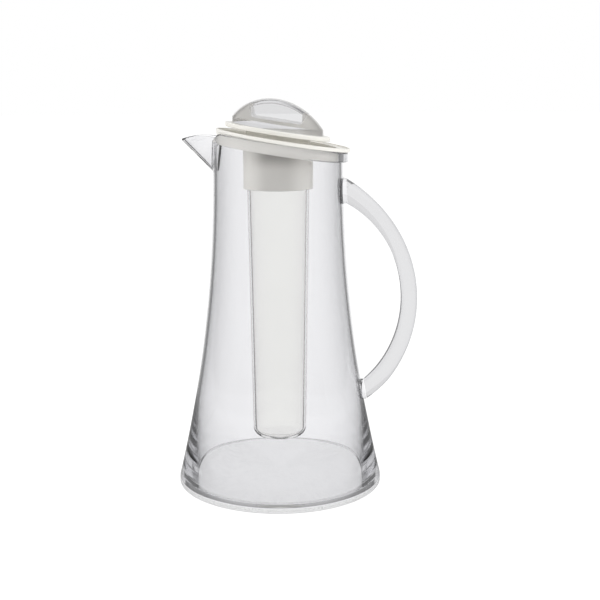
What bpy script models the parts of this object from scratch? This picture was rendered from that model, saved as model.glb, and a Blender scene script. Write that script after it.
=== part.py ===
"""Clear plastic pitcher: flared body, bonded base and handle, tilted lid and a lidded ice tube.

The body's axis is Z, the pitcher stands on z = 0, the spout points to -X and the handle to +X.
The rim is cut on a slant, high at the spout. The lid, its stopper and the knob follow that slant,
but are round from above, and the collar and the ice tube under the lid hang straight down.
"""

import math

import bmesh
import bpy
from mathutils import Matrix, Vector

MM = 0.001

# Fits
BOND_GAP = 0.3 * MM
SLIDE_GAP = 0.3 * MM
EDGE_ROUND = 0.6 * MM
CUT_OVERRUN = 12 * MM

# Body
FOOT_RADIUS = 75.5 * MM
NECK_RADIUS = 46.5 * MM
NECK_DROP = 15.3 * MM
WALL = 2.7 * MM
FOOT_WALL_EXTRA = 7.6 * MM
FOOT_WALL_HEIGHT = 65 * MM
RIM_HEIGHT = 249.3 * MM
LID_TILT = math.radians(9)
BEAD_DEPTH = 3.1 * MM
BEAD_HEIGHT = 6.6 * MM
BEAD_SLOPE = 0.9 * MM

# Spout
SPOUT_REACH = 22.4 * MM
SPOUT_HALF_WIDTH = 15.5 * MM
SPOUT_TIP_RISE = 2 * MM
SPOUT_CREST_RISE = 4.6 * MM
SPOUT_MOUTH_RISE = 3.4 * MM
SPOUT_DEPTH = 22.7 * MM
SPOUT_CREST_SHARE = 0.43
SPOUT_ROOT_WIDTH_SHARE = 0.3
SPOUT_NOSE_SHARE = 0.22
SPOUT_FLANK_SHARE = 1.25
SPOUT_BLEND_SHARE = 1.7

# Base disc
BASE_THICKNESS = 3.3 * MM
FLOOR_STEP = 1.4 * MM
BASE_EDGE_ROUND = 0.8 * MM

# Handle, a crescent bonded to two bosses on the body
HANDLE_RADIUS = 90.1 * MM
HANDLE_CENTRE_X = 4 * MM
HANDLE_DROP = 113.8 * MM
HANDLE_THICKNESS = 12 * MM
HANDLE_END_THICKNESS = 15.8 * MM
HANDLE_DEPTH = 17 * MM
HANDLE_END_DEPTH = 19 * MM
HANDLE_TOP_ANGLE = math.radians(70)
HANDLE_HEEL_ANGLE = math.radians(-60)
HANDLE_JOINT_ANGLE = math.radians(60)
HEEL_DRAW = 2 * MM
HEEL_START_ANGLE = math.radians(-36)
HEEL_END_ANGLE = math.radians(-54)
BOSS_HEIGHT = 1.8 * MM
TOP_BOSS_LEAN = math.radians(-1.5)
HEEL_BOSS_LEAN = math.radians(-10)
SECTION_POWER = 2.7
SWELL_POWER = 2

# Lid, measured square to the slanted rim from the underside of its flange
FLANGE_RADIUS = 47.6 * MM
FLANGE_THICKNESS = 1.6 * MM
LIP_HEIGHT = 2.6 * MM
LIP_WIDTH = 1.5 * MM
PLUG_DEPTH = 7.1 * MM
PLUG_WALL = 2.0 * MM
TRAY_FLOOR = 2.0 * MM
TRAY_CORNER = 1.0 * MM
HUB_RADIUS = 22.8 * MM
HUB_RISE = 4.7 * MM
HUB_BORE = 19.5 * MM
COLLAR_WALL = 2.3 * MM
COLLAR_DROP = 33.5 * MM
SEAT_DROP = 11 * MM

# Stopper, a disc with a skirt that plugs the hub
STOPPER_RADIUS = 37.2 * MM
STOPPER_THICKNESS = 3.2 * MM
SKIRT_WALL = 2.0 * MM
SKIRT_DEPTH = 8 * MM
SKIRT_CEILING = 0.8 * MM

# Knob, a clear dome with a D-shaped finger pocket front and back
KNOB_RADIUS = 32.3 * MM
KNOB_FOOT = 3.8 * MM
KNOB_DOME_HEIGHT = 16.6 * MM
KNOB_FOOT_ROUND = 0.3 * MM
POCKET_HALF_WIDTH = 17.5 * MM
POCKET_FLOOR = 2.3 * MM
POCKET_ROOF = 3.4 * MM
POCKET_CORNER = 2 * MM
WEB_THICKNESS = 4 * MM

# Ice tube and its washer
TUBE_MOUTH_RADIUS = 22.2 * MM
TUBE_TIP_RADIUS = 19.3 * MM
TUBE_WALL = 2.2 * MM
TUBE_FLOOR_GAP = 27.1 * MM
TUBE_CORNER = 6.5 * MM
WASHER_THICKNESS = 1.6 * MM
WASHER_LAND = 2 * MM

# Facets
BODY_SEGMENTS = 50
SPOUT_SEGMENTS = 20
LID_SEGMENTS = 54
BASE_SEGMENTS = 64
TUBE_SEGMENTS = 40
KNOB_SEGMENTS = 40
DOME_STEPS = 8
POCKET_STEPS = 12
CORNER_STEPS = 4
HANDLE_STEPS = 30
SECTION_STEPS = 16
BOSS_CORE_STEPS = 14
BODY_ROW_SHARES = (0.02, 0.07, 0.13, 0.2, 0.29, 0.4, 0.54, 0.7, 0.86, 1)
NECK_ROW_SHARES = (0.2, 0.4, 0.6, 0.8, 1)
TUBE_ROW_SHARES = (0.12, 0.5)
SPOUT_FAN = math.radians(54)

# Places that follow from the sizes
SLANT = math.tan(LID_TILT)
NECK_HEIGHT = RIM_HEIGHT - NECK_DROP
HANDLE_CENTRE_HEIGHT = RIM_HEIGHT - HANDLE_DROP
BODY_BOTTOM = BASE_THICKNESS + BOND_GAP
FLOOR_HEIGHT = BASE_THICKNESS + FLOOR_STEP
LID_HEIGHT = RIM_HEIGHT + BOND_GAP
PLUG_RADIUS = NECK_RADIUS - WALL - SLIDE_GAP
FLANGE_OFFSET = FLANGE_RADIUS - PLUG_RADIUS - SLIDE_GAP
SPOUT_TIP_HEIGHT = RIM_HEIGHT + SPOUT_TIP_RISE
SPOUT_ROOT_HEIGHT = SPOUT_TIP_HEIGHT - SPOUT_DEPTH
COLLAR_BORE = TUBE_MOUTH_RADIUS + SLIDE_GAP
COLLAR_RADIUS = COLLAR_BORE + COLLAR_WALL
COLLAR_BOTTOM = LID_HEIGHT - COLLAR_DROP
SEAT_HEIGHT = LID_HEIGHT - SEAT_DROP
WASHER_TOP = SEAT_HEIGHT - BOND_GAP
TUBE_TOP = WASHER_TOP - WASHER_THICKNESS - BOND_GAP
TUBE_BOTTOM = FLOOR_HEIGHT + TUBE_FLOOR_GAP
STOPPER_UNDERSIDE = HUB_RISE + BOND_GAP
STOPPER_TOP = STOPPER_UNDERSIDE + STOPPER_THICKNESS
SKIRT_RADIUS = HUB_BORE - SLIDE_GAP
KNOB_BOTTOM = STOPPER_TOP + BOND_GAP
DOME_BASE = KNOB_BOTTOM + KNOB_FOOT
DOME_RADIUS = (KNOB_RADIUS**2 + KNOB_DOME_HEIGHT**2) / (2 * KNOB_DOME_HEIGHT)
DOME_CENTRE = DOME_BASE + KNOB_DOME_HEIGHT - DOME_RADIUS


def clear_scene():
    for found in list(bpy.data.objects):
        bpy.data.objects.remove(found, do_unlink=True)


def material(name, colour, roughness, transmission=0.0, ior=1.49):
    made = bpy.data.materials.new(name)
    made.use_nodes = True
    shader = made.node_tree.nodes["Principled BSDF"]
    shader.inputs["Base Color"].default_value = (*colour, 1.0)
    shader.inputs["Roughness"].default_value = roughness
    shader.inputs["Metallic"].default_value = 0.0
    shader.inputs["Transmission Weight"].default_value = transmission
    shader.inputs["IOR"].default_value = ior
    return made


def smooth_step(low, high, value):
    share = min(max((value - low) / (high - low), 0), 1)
    return share * share * (3 - 2 * share)


def loft(rings, closed=False):
    """A skin over rings of equally many points, joined end to end or capped at both ends."""
    mesh = bmesh.new()
    loops = [[mesh.verts.new(point) for point in ring] for ring in rings]
    count = len(loops[0])
    pairs = list(zip(loops, loops[1:]))
    if closed:
        pairs.append((loops[-1], loops[0]))
    else:
        mesh.faces.new(loops[0])
        mesh.faces.new(loops[-1])
    for lower, upper in pairs:
        for index in range(count):
            after = (index + 1) % count
            mesh.faces.new((lower[index], lower[after], upper[after], upper[index]))
    bmesh.ops.recalc_face_normals(mesh, faces=mesh.faces)
    return mesh


def finish(mesh, name, finish_material=None, origin=(0, 0, 0), parent=None):
    """An object whose origin is on its joint's axis, from a mesh made in world places."""
    bmesh.ops.translate(mesh, verts=mesh.verts, vec=-Vector(origin))
    data = bpy.data.meshes.new(name)
    mesh.to_mesh(data)
    mesh.free()
    data.shade_smooth()
    data.set_sharp_from_angle(angle=math.radians(32))
    made = bpy.data.objects.new(name, data)
    bpy.context.collection.objects.link(made)
    made.location = Vector(origin)
    if parent is not None:
        made.parent = parent
        made.location = Vector(origin) - parent.matrix_world.translation
    if finish_material is not None:
        data.materials.append(finish_material)
    bpy.context.view_layer.update()
    return made


def hide_tool(made):
    made.hide_render = True
    made.display_type = "WIRE"
    return made


def combine(made, tool, operation):
    change = made.modifiers.new(f"{operation.lower()}_{tool.name}", "BOOLEAN")
    change.operation = operation
    change.solver = "EXACT"
    change.object = tool


def circle_points(radius, count, centre_x=0.0):
    angles = (2 * math.pi * index / count for index in range(count))
    return [(centre_x + radius * math.cos(a), radius * math.sin(a)) for a in angles]


def level_ring(radius, height, count):
    return [Vector((x, y, height)) for x, y in circle_points(radius, count)]


def slant_height(x, rise):
    """Height at x of the plane that lies this far above the lid's own, measured square to it."""
    return LID_HEIGHT + rise / math.cos(LID_TILT) - SLANT * x


def slant_ring(radius, rise, count, centre_x=0.0):
    """A ring that is round from above and lies in a plane parallel to the rim."""
    points = circle_points(radius, count, centre_x)
    return [Vector((x, y, slant_height(x, rise))) for x, y in points]


def body_radius(height):
    """Outer radius of the wall: a flare that dies out at the neck."""
    share = max(0, 1 - height / NECK_HEIGHT)
    return NECK_RADIUS + (FOOT_RADIUS - NECK_RADIUS) * share**2


def wall_at(height):
    """The wall thickens towards the foot, where the base disc is bonded on."""
    share = max(0, 1 - height / FOOT_WALL_HEIGHT)
    return WALL + FOOT_WALL_EXTRA * share**2


def body_angles():
    """Angles round the body, close together on the spout and wider apart on the rest."""
    fan = [math.pi - SPOUT_FAN / 2 + SPOUT_FAN * i / SPOUT_SEGMENTS for i in range(SPOUT_SEGMENTS)]
    rest = 2 * math.pi - SPOUT_FAN
    start = math.pi + SPOUT_FAN / 2
    return fan + [start + rest * i / BODY_SEGMENTS for i in range(BODY_SEGMENTS)]


def spout_share(angle, height):
    """How far the spout stands out here, from 0 on the plain wall to 1 at its tip."""
    rise = (height - SPOUT_ROOT_HEIGHT) / SPOUT_DEPTH
    rise = min(max(rise, 0), 1)
    width = SPOUT_ROOT_WIDTH_SHARE + (1 - SPOUT_ROOT_WIDTH_SHARE) * rise
    off = abs((angle % (2 * math.pi)) - math.pi) * NECK_RADIUS / (SPOUT_HALF_WIDTH * width)
    nose = SPOUT_NOSE_SHARE
    slope = (math.hypot(off, nose) - nose) / (math.hypot(1, nose) - nose)
    return rise * max(0, 1 - slope) ** SPOUT_FLANK_SHARE


def spout_edge(share):
    """Height of the lip's edge from the wall, over its crest, down to the tip."""
    if share < SPOUT_CREST_SHARE:
        ease = math.sin(math.pi / 2 * share / SPOUT_CREST_SHARE)
        return RIM_HEIGHT + SPOUT_MOUTH_RISE + (SPOUT_CREST_RISE - SPOUT_MOUTH_RISE) * ease
    fall = (share - SPOUT_CREST_SHARE) / (1 - SPOUT_CREST_SHARE)
    return RIM_HEIGHT + SPOUT_CREST_RISE - (SPOUT_CREST_RISE - SPOUT_TIP_RISE) * fall**2


def top_edge(angle, x):
    """Height of the rim: the slanted cut, dropping to the lip's edge at the spout."""
    half_angle = SPOUT_HALF_WIDTH / NECK_RADIUS
    off = abs((angle % (2 * math.pi)) - math.pi)
    slanted = RIM_HEIGHT - SLANT * x
    lip = spout_edge(spout_share(angle, SPOUT_TIP_HEIGHT))
    rim_part = smooth_step(half_angle, half_angle * SPOUT_BLEND_SHARE, off)
    return lip + (slanted - lip) * rim_part


def wall_point(angle, height, inset=0.0):
    radius = body_radius(height) + SPOUT_REACH * spout_share(angle, height) - inset
    return Vector((radius * math.cos(angle), radius * math.sin(angle), height))


def rim_point(angle, drop, inset, inner):
    """A point a little below the rim's edge and in from its outer or inner face."""
    depth = inset + WALL if inner else inset
    beside = wall_point(angle, SPOUT_TIP_HEIGHT, depth)
    return wall_point(angle, top_edge(angle, beside.x) - drop, depth)


def bead_at(angle):
    """The rim's outer bead is deepest at the handle and fades out at the spout."""
    return BEAD_DEPTH * (1 + math.cos(angle)) / 2


def body_rings():
    """The wall's rings, up the outside, over the rim and down the inside."""
    angles = body_angles()
    waist = SPOUT_ROOT_HEIGHT - BEAD_HEIGHT
    tall = waist - BODY_BOTTOM
    under_bead = BEAD_HEIGHT + BEAD_SLOPE

    def neck_row(share, inner):
        row = []
        for angle in angles:
            top = rim_point(angle, under_bead, 0.0, inner).z
            height = waist + (top - waist) * share
            row.append(wall_point(angle, height, wall_at(height) if inner else 0.0))
        return row

    def rim_row(drop, bead_share, inset, inner=False):
        return [rim_point(a, drop, inset - bead_share * bead_at(a), inner) for a in angles]

    heights = [BODY_BOTTOM + tall * share for share in BODY_ROW_SHARES]
    rings = [[wall_point(a, BODY_BOTTOM, EDGE_ROUND) for a in angles]]
    rings += [[wall_point(a, height) for a in angles] for height in heights]
    rings += [neck_row(share, False) for share in NECK_ROW_SHARES]
    rings += [rim_row(BEAD_HEIGHT, 1, 0.0), rim_row(EDGE_ROUND, 1, 0.0), rim_row(0.0, 1, EDGE_ROUND)]
    rings += [rim_row(0.0, 0, -EDGE_ROUND, True), rim_row(EDGE_ROUND, 0, 0.0, True)]
    rings += [neck_row(share, True) for share in reversed(NECK_ROW_SHARES)]
    rings += [[wall_point(a, z, wall_at(z)) for a in angles] for z in reversed(heights)]
    rings.append([wall_point(a, BODY_BOTTOM, wall_at(BODY_BOTTOM)) for a in angles])
    return rings


def handle_section(angle):
    """The handle's section where it crosses this angle: a rounded oblong, thicker at the ends."""
    swell = ((1 - math.cos(angle)) / (1 - math.cos(HANDLE_JOINT_ANGLE))) ** SWELL_POWER
    thickness = HANDLE_THICKNESS + (HANDLE_END_THICKNESS - HANDLE_THICKNESS) * swell
    depth = HANDLE_DEPTH + (HANDLE_END_DEPTH - HANDLE_DEPTH) * swell
    drawn = HEEL_DRAW * smooth_step(HEEL_START_ANGLE, HEEL_END_ANGLE, angle)
    outward = Vector((math.cos(angle), 0, math.sin(angle)))
    centre = Vector((HANDLE_CENTRE_X, 0, HANDLE_CENTRE_HEIGHT))
    centre += outward * (HANDLE_RADIUS - drawn / 2)
    ring = []
    for index in range(SECTION_STEPS):
        turn = 2 * math.pi * index / SECTION_STEPS
        across, along = math.cos(turn), math.sin(turn)
        reach = (abs(across) ** SECTION_POWER + abs(along) ** SECTION_POWER) ** (-1 / SECTION_POWER)
        out = across * reach * (thickness - drawn) / 2
        ring.append(centre + outward * out + Vector((0, along * reach * depth / 2, 0)))
    return ring


def handle_blank():
    """The whole crescent, with both ends running on into the body."""
    sweep = HANDLE_HEEL_ANGLE - HANDLE_TOP_ANGLE
    angles = [HANDLE_TOP_ANGLE + sweep * i / HANDLE_STEPS for i in range(HANDLE_STEPS + 1)]
    return loft([handle_section(angle) for angle in angles])


def joint_centre(side):
    """Where the handle's centre line comes down on the bosses, above (1) or below (-1)."""
    height = HANDLE_CENTRE_HEIGHT
    for _ in range(BOSS_CORE_STEPS):
        run = body_radius(height) + BOSS_HEIGHT - HANDLE_CENTRE_X
        height = HANDLE_CENTRE_HEIGHT + side * math.sqrt(max(HANDLE_RADIUS**2 - run**2, 0))
    return Vector((body_radius(height) + BOSS_HEIGHT, 0, height))


def joint_block(name, side, lean, gap):
    """A block that fills everything on the body's side of one joint face."""
    face = joint_centre(side)
    reach = FOOT_RADIUS + SPOUT_REACH
    tall = abs(face.z - HANDLE_CENTRE_HEIGHT)
    mesh = bmesh.new()
    bmesh.ops.create_cube(mesh, size=1)
    size = Vector((reach, 2 * HANDLE_END_DEPTH, 2 * tall))
    bmesh.ops.scale(mesh, vec=size, verts=mesh.verts)
    bmesh.ops.translate(mesh, vec=Vector((gap - reach / 2, 0, 0)), verts=mesh.verts)
    turn = Matrix.Rotation(lean, 3, "Y")
    bmesh.ops.rotate(mesh, cent=Vector((0, 0, 0)), matrix=turn, verts=mesh.verts)
    bmesh.ops.translate(mesh, vec=face, verts=mesh.verts)
    return hide_tool(finish(mesh, name))


def boss_core():
    """A plug to the middle of the wall, which keeps the bosses out of the pitcher's inside."""
    low = FLOOR_HEIGHT
    high = RIM_HEIGHT - BEAD_HEIGHT
    heights = [low + (high - low) * i / BOSS_CORE_STEPS for i in range(BOSS_CORE_STEPS + 1)]
    rings = [level_ring(body_radius(z) - WALL / 2, z, BODY_SEGMENTS) for z in heights]
    return hide_tool(finish(loft(rings), "boss_core"))


def make_boss(name, side, lean, core):
    """A low pad of the handle's own section, standing on the wall."""
    block = joint_block(f"{name}_block", side, lean, 0.0)
    pad = hide_tool(finish(handle_blank(), name))
    combine(pad, block, "INTERSECT")
    combine(pad, core, "DIFFERENCE")
    return pad


def make_body(clear):
    body = finish(loft(body_rings(), closed=True), "pitcher_body", clear)
    core = boss_core()
    combine(body, make_boss("top_boss", 1, TOP_BOSS_LEAN, core), "UNION")
    combine(body, make_boss("heel_boss", -1, HEEL_BOSS_LEAN, core), "UNION")
    return body


def make_base(clear, body):
    """A flat disc with a low step that centres it in the foot."""
    step = body_radius(BODY_BOTTOM) - wall_at(BODY_BOTTOM) - SLIDE_GAP
    top = FLOOR_HEIGHT
    outer = body_radius(BODY_BOTTOM)
    sides = [
        (outer - BASE_EDGE_ROUND, 0.0),
        (outer, BASE_EDGE_ROUND),
        (outer, BASE_THICKNESS - EDGE_ROUND),
        (outer - EDGE_ROUND, BASE_THICKNESS),
        (step, BASE_THICKNESS),
        (step, top - EDGE_ROUND),
        (step - EDGE_ROUND, top),
    ]
    rings = [level_ring(radius, height, BASE_SEGMENTS) for radius, height in sides]
    return finish(loft(rings), "base_disc", clear, parent=body)


def make_handle(clear, body):
    handle = finish(handle_blank(), "handle", clear, parent=body)
    top = joint_block("top_joint_block", 1, TOP_BOSS_LEAN, BOND_GAP)
    heel = joint_block("heel_joint_block", -1, HEEL_BOSS_LEAN, BOND_GAP)
    combine(handle, top, "DIFFERENCE")
    combine(handle, heel, "DIFFERENCE")
    return handle


def lid_rings():
    """Round the lid's section: lip, flange, plug, collar, bore, hub and tray."""
    count = LID_SEGMENTS
    e = EDGE_ROUND
    tray = TRAY_FLOOR - PLUG_DEPTH
    wall = PLUG_RADIUS - PLUG_WALL
    corner = TRAY_CORNER
    lip = FLANGE_RADIUS - LIP_WIDTH

    def eccentric(radius, rise):
        return slant_ring(radius, rise, count, FLANGE_OFFSET)

    def slanted(radius, rise):
        return slant_ring(radius, rise, count)

    def level(radius, height):
        return level_ring(radius, height, count)

    return [
        eccentric(FLANGE_RADIUS - e, LIP_HEIGHT),
        eccentric(FLANGE_RADIUS, LIP_HEIGHT - e),
        eccentric(FLANGE_RADIUS, e),
        eccentric(FLANGE_RADIUS - e, 0.0),
        slanted(PLUG_RADIUS, 0.0),
        slanted(PLUG_RADIUS, e - PLUG_DEPTH),
        slanted(PLUG_RADIUS - e, -PLUG_DEPTH),
        slanted(COLLAR_RADIUS + corner, -PLUG_DEPTH),
        slanted(COLLAR_RADIUS, -PLUG_DEPTH - corner),
        level(COLLAR_RADIUS, COLLAR_BOTTOM + e),
        level(COLLAR_RADIUS - e, COLLAR_BOTTOM),
        level(COLLAR_BORE + e, COLLAR_BOTTOM),
        level(COLLAR_BORE, COLLAR_BOTTOM + e),
        level(COLLAR_BORE, SEAT_HEIGHT),
        level(HUB_BORE, SEAT_HEIGHT),
        slanted(HUB_BORE, HUB_RISE - e),
        slanted(HUB_BORE + e, HUB_RISE),
        slanted(HUB_RADIUS - e, HUB_RISE),
        slanted(HUB_RADIUS, HUB_RISE - e),
        slanted(HUB_RADIUS, tray + corner),
        slanted(HUB_RADIUS + corner, tray),
        slanted(wall - corner, tray),
        slanted(wall, tray + corner),
        slanted(wall, FLANGE_THICKNESS - e),
        slanted(wall + e / 2, FLANGE_THICKNESS),
        eccentric(lip, FLANGE_THICKNESS),
        eccentric(lip, LIP_HEIGHT - e / 2),
        eccentric(lip + e / 2, LIP_HEIGHT),
    ]


def make_lid(white, body):
    origin = (0, 0, LID_HEIGHT)
    return finish(loft(lid_rings(), closed=True), "lid", white, origin, body)


def make_stopper(white, lid):
    """The disc follows the lid's slant, and its skirt goes straight down into the hub."""
    e = EDGE_ROUND
    low, top = STOPPER_UNDERSIDE, STOPPER_TOP
    skirt_bottom = LID_HEIGHT + HUB_RISE - SKIRT_DEPTH
    inside = SKIRT_RADIUS - SKIRT_WALL
    count = LID_SEGMENTS
    rings = [
        slant_ring(STOPPER_RADIUS - e, top, count),
        slant_ring(STOPPER_RADIUS, top - e, count),
        slant_ring(STOPPER_RADIUS, low + e, count),
        slant_ring(STOPPER_RADIUS - e, low, count),
        slant_ring(SKIRT_RADIUS, low, count),
        level_ring(SKIRT_RADIUS, skirt_bottom + e, count),
        level_ring(SKIRT_RADIUS - e, skirt_bottom, count),
        level_ring(inside, skirt_bottom, count),
        slant_ring(inside, low + SKIRT_CEILING, count),
    ]
    origin = (0, 0, LID_HEIGHT + HUB_RISE)
    return finish(loft(rings), "stopper_disc", white, origin, lid)


def dome_rings():
    """The knob's upright foot and its dome, up to a small flat at the top."""
    rings = [slant_ring(KNOB_RADIUS - KNOB_FOOT_ROUND, KNOB_BOTTOM, KNOB_SEGMENTS)]
    rings.append(slant_ring(KNOB_RADIUS, KNOB_BOTTOM + KNOB_FOOT_ROUND, KNOB_SEGMENTS))
    wide = math.asin(KNOB_RADIUS / DOME_RADIUS)
    for step in range(DOME_STEPS):
        turn = wide * (1 - step / DOME_STEPS)
        rise = DOME_CENTRE + DOME_RADIUS * math.cos(turn)
        rings.append(slant_ring(DOME_RADIUS * math.sin(turn), rise, KNOB_SEGMENTS))
    last = wide / (2 * DOME_STEPS)
    rise = DOME_CENTRE + DOME_RADIUS * math.cos(last)
    rings.append(slant_ring(DOME_RADIUS * math.sin(last), rise, KNOB_SEGMENTS))
    return rings


def pocket_outline():
    """The D of one finger pocket: a flat floor with rounded corners under an arched roof."""
    floor = DOME_BASE + POCKET_FLOOR
    points = []
    for side in (-1, 1):
        for step in range(CORNER_STEPS + 1):
            turn = math.pi / 2 * step / CORNER_STEPS
            turn = turn if side < 0 else math.pi / 2 - turn
            x = side * (POCKET_HALF_WIDTH - POCKET_CORNER * (1 - math.cos(turn)))
            points.append((x, floor + POCKET_CORNER * (1 - math.sin(turn))))
    roof = DOME_RADIUS - POCKET_ROOF
    wide = math.asin(POCKET_HALF_WIDTH / roof)
    for step in range(POCKET_STEPS + 1):
        turn = wide * (1 - 2 * step / POCKET_STEPS)
        points.append((roof * math.sin(turn), DOME_CENTRE + roof * math.cos(turn)))
    return points


def pocket_cutter(name, side):
    outline = pocket_outline()
    near = side * WEB_THICKNESS / 2
    far = side * (KNOB_RADIUS + CUT_OVERRUN)
    rings = []
    for y in (near, far):
        rings.append([Vector((x, y, slant_height(x, rise))) for x, rise in outline])
    return hide_tool(finish(loft(rings), name))


def make_knob(clear, stopper):
    origin = stopper.matrix_world.translation
    knob = finish(loft(dome_rings()), "knob", clear, origin, stopper)
    combine(knob, pocket_cutter("front_pocket", -1), "DIFFERENCE")
    combine(knob, pocket_cutter("back_pocket", 1), "DIFFERENCE")
    return knob


def tube_radius(height):
    """The tube narrows evenly from the collar's mouth to its tip."""
    share = min(max((height - TUBE_BOTTOM) / (COLLAR_BOTTOM - TUBE_BOTTOM), 0), 1)
    return TUBE_TIP_RADIUS + (TUBE_MOUTH_RADIUS - TUBE_TIP_RADIUS) * share


def tube_tip(inset):
    """The rounded corner between the tube's side and its flat tip."""
    corner = TUBE_CORNER - inset
    low = TUBE_BOTTOM + inset
    side = tube_radius(TUBE_BOTTOM + TUBE_CORNER) - inset
    rings = []
    for step in range(CORNER_STEPS + 1):
        turn = math.pi / 2 * step / CORNER_STEPS
        radius = side - corner * (1 - math.sin(turn))
        rings.append(level_ring(radius, low + corner * (1 - math.cos(turn)), TUBE_SEGMENTS))
    return rings


def make_tube(clear, washer):
    run = TUBE_TOP - TUBE_BOTTOM
    heights = [TUBE_BOTTOM + run * share for share in TUBE_ROW_SHARES] + [COLLAR_BOTTOM]
    rings = tube_tip(0.0)
    rings += [level_ring(tube_radius(z), z, TUBE_SEGMENTS) for z in heights]
    e = EDGE_ROUND
    mouth = tube_radius(TUBE_TOP)
    rings.append(level_ring(mouth, TUBE_TOP - e, TUBE_SEGMENTS))
    rings.append(level_ring(mouth - e, TUBE_TOP, TUBE_SEGMENTS))
    rings.append(level_ring(mouth - TUBE_WALL, TUBE_TOP, TUBE_SEGMENTS))
    rings += [level_ring(tube_radius(z) - TUBE_WALL, z, TUBE_SEGMENTS) for z in reversed(heights)]
    rings += reversed(tube_tip(TUBE_WALL))
    return finish(loft(rings), "ice_tube", clear, (0, 0, TUBE_TOP), washer)


def make_washer(silicone, lid):
    """A flat ring between the tube's mouth and the seat inside the collar."""
    outer = TUBE_MOUTH_RADIUS
    inner = outer - WASHER_LAND
    low = WASHER_TOP - WASHER_THICKNESS
    sides = [(outer, low), (outer, WASHER_TOP), (inner, WASHER_TOP), (inner, low)]
    rings = [level_ring(radius, height, TUBE_SEGMENTS) for radius, height in sides]
    origin = (0, 0, WASHER_TOP)
    return finish(loft(rings, closed=True), "tube_washer", silicone, origin, lid)


def main():
    clear_scene()
    acrylic = material("clear_acrylic", (0.93, 0.94, 0.95), 0.03, 1.0)
    tube_plastic = material("clear_styrene", (0.92, 0.93, 0.93), 0.05, 1.0, 1.52)
    white = material("white_polypropylene", (0.78, 0.77, 0.74), 0.38)
    silicone = material("grey_silicone", (0.5, 0.48, 0.46), 0.55)
    body = make_body(acrylic)
    make_base(acrylic, body)
    make_handle(acrylic, body)
    lid = make_lid(white, body)
    stopper = make_stopper(white, lid)
    make_knob(acrylic, stopper)
    washer = make_washer(silicone, lid)
    make_tube(tube_plastic, washer)


main()
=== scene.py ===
"""Clear plastic pitcher with an ice tube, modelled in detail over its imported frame.

Each operator makes one piece over the node that it stands for, in the frame's own place and size.
The body's axis is Z, the spout points to -X and the handle to +X. The lid, the stopper and the
knob are round from above and follow the slant of the rim.
"""

import math

import bmesh
import bpy
from bpy.props import FloatProperty, FloatVectorProperty, IntProperty, PointerProperty
from mathutils import Matrix, Vector


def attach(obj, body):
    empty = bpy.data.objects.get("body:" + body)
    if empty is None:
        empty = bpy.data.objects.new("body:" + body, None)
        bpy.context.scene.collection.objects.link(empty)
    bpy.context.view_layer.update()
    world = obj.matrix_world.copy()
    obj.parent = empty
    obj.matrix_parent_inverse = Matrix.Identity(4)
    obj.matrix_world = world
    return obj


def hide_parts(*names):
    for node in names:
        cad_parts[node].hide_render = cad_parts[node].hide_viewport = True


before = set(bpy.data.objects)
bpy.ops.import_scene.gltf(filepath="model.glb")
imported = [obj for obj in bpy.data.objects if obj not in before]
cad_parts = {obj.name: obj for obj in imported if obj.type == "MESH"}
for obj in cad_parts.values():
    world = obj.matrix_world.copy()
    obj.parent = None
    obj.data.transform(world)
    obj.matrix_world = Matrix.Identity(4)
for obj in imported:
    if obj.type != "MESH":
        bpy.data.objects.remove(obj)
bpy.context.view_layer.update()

bl_info = {
    "name": "Ice tube pitcher",
    "version": (1, 0, 0),
    "blender": (4, 5, 0),
    "location": "3D View > Sidebar > Pitcher",
    "description": "A clear pitcher with a slanted lid, a knobbed stopper and an ice tube",
    "category": "Object",
}

# Points closer than this count as one.
MERGE = 1e-6
WHITE = (1, 1, 1, 1)


# Sizes, angles and colours that a user may change


def linear(hex_colour):
    """An sRGB hex value as the linear colour that a shader takes."""
    parts = [int(hex_colour[index : index + 2], 16) / 255 for index in (0, 2, 4)]
    return [part / 12.92 if part <= 0.04045 else ((part + 0.055) / 1.055) ** 2.4 for part in parts]


def length(name, description, default):
    return FloatProperty(
        name=name, description=description, default=default, precision=5, unit="LENGTH", subtype="DISTANCE"
    )


def turn(name, description, degrees):
    return FloatProperty(
        name=name, description=description, default=math.radians(degrees), unit="ROTATION", subtype="ANGLE"
    )


def share(name, description, default, subtype="FACTOR"):
    return FloatProperty(name=name, description=description, default=default, subtype=subtype)


def facets(place, default):
    return IntProperty(name="Facets", description=f"Facets {place}", default=default, min=48)


def group(kind, name, description):
    return PointerProperty(type=kind, name=name, description=description)


def colour(name, description, hex_colour):
    return FloatVectorProperty(
        name=name, description=description, default=linear(hex_colour), size=3, min=0, max=1, subtype="COLOR"
    )


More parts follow.
